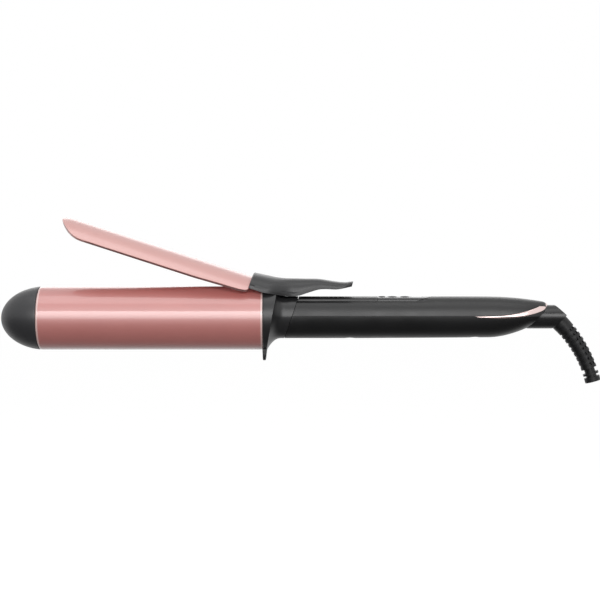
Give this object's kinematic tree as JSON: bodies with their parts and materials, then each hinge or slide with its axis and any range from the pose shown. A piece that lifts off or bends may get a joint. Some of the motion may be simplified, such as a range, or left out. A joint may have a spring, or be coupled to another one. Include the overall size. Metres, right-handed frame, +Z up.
{
  "type": "curling iron",
  "caption": "Spring-clamp curling iron with a wide heated barrel, cool tip, thumb lever, keypad handle and swivel cord outlet.",
  "frame": {"origin": "on the barrel's axis, where the barrel leaves the front collar", "axes": "+X from the barrel towards the handle, +Y across, along the clamp's pivot pin, +Z up, away from the foot"},
  "size_m": [0.3594, 0.04, 0.0996],
  "materials": {
    "black_tip": "satin moulded heat-proof plastic",
    "rose_barrel": "glossy pearl ceramic coating",
    "rose_plate": "satin pearl ceramic coating",
    "grey_lever": "fine matte moulded plastic",
    "black_collar": "satin moulded plastic",
    "black_shell": "glossy moulded plastic",
    "rose_chrome": "pink tinted chrome plating",
    "panel_black": "glossy inlay",
    "key_grey": "satin keys",
    "smoked_window": "smoked glossy lens",
    "black_boot": "satin moulded plastic",
    "black_relief": "soft moulded relief",
    "steel": "stamped steel",
    "heat_aluminium": "mill finish extrusion",
    "ceramic_heater": "insulated ceramic heater",
    "cream_resin": "heat-proof resin",
    "green_board": "solder-masked board",
    "contact_brass": "spring brass",
    "part_blue": "component cases",
    "lead_black": "wire insulation",
    "lead_white": "silicone wire insulation"
  },
  "bodies": {
    "body": {"cool_tip": "black_tip", "tip_bridge": "steel", "tip_screw": "steel", "barrel": "rose_barrel", "heater_element": "ceramic_heater", "upper_heat_spreader": "heat_aluminium", "lower_heat_spreader": "heat_aluminium", "thermistor": "part_blue", "thermal_fuse": "steel", "barrel_socket": "cream_resin", "heater_leads": "lead_white", "front_collar": "black_collar", "upper_shell": "black_shell", "lower_shell": "black_shell", "rear_trim": "rose_chrome", "handle_screws": "steel", "control_panel": "panel_black", "display_window": "smoked_window", "display_module": "part_blue", "control_board": "green_board", "tact_switches": "part_blue", "control_board_screws": "steel", "power_board": "green_board", "power_parts": "part_blue", "power_board_screws": "steel", "supply_leads": "lead_black", "brush_holder": "cream_resin", "brush_springs": "contact_brass", "clamp_spring": "steel", "swivel_bush": "cream_resin"},
    "clamp": {"clamp_plate": "rose_plate", "clamp_lever": "grey_lever", "lever_screws": "steel", "pivot_pin": "steel"},
    "power_key": {"button_power": "key_grey"},
    "minus_key": {"button_minus": "key_grey"},
    "plus_key": {"button_plus": "key_grey"},
    "swivel": {"swivel_boot": "black_boot", "strain_relief": "black_relief", "retaining_ring": "steel", "slip_rings": "contact_brass"}
  },
  "joints": [
    {"name": "clamp_hinge", "type": "hinge", "parent": "body", "child": "clamp", "pos_m": [0.0042, 0, 0.0168], "axis": [0, 1, 0], "range_deg": [-17.85, 5], "stiffness_Nm_per_rad": 0.6, "springref_deg": -45.84, "deforming": ["clamp_spring"]},
    {"name": "power_press", "type": "slide", "parent": "body", "child": "power_key", "axis": [0, 0, -1], "range_m": [0, 0.0008], "stiffness_N_per_m": 800},
    {"name": "minus_press", "type": "slide", "parent": "body", "child": "minus_key", "axis": [0, 0, -1], "range_m": [0, 0.0008], "stiffness_N_per_m": 800},
    {"name": "plus_press", "type": "slide", "parent": "body", "child": "plus_key", "axis": [0, 0, -1], "range_m": [0, 0.0008], "stiffness_N_per_m": 800},
    {"name": "cord_swivel", "type": "hinge", "parent": "body", "child": "swivel", "pos_m": [0.16, 0, 0.0008], "axis": [1, 0, 0], "continuous": true}
  ]
}
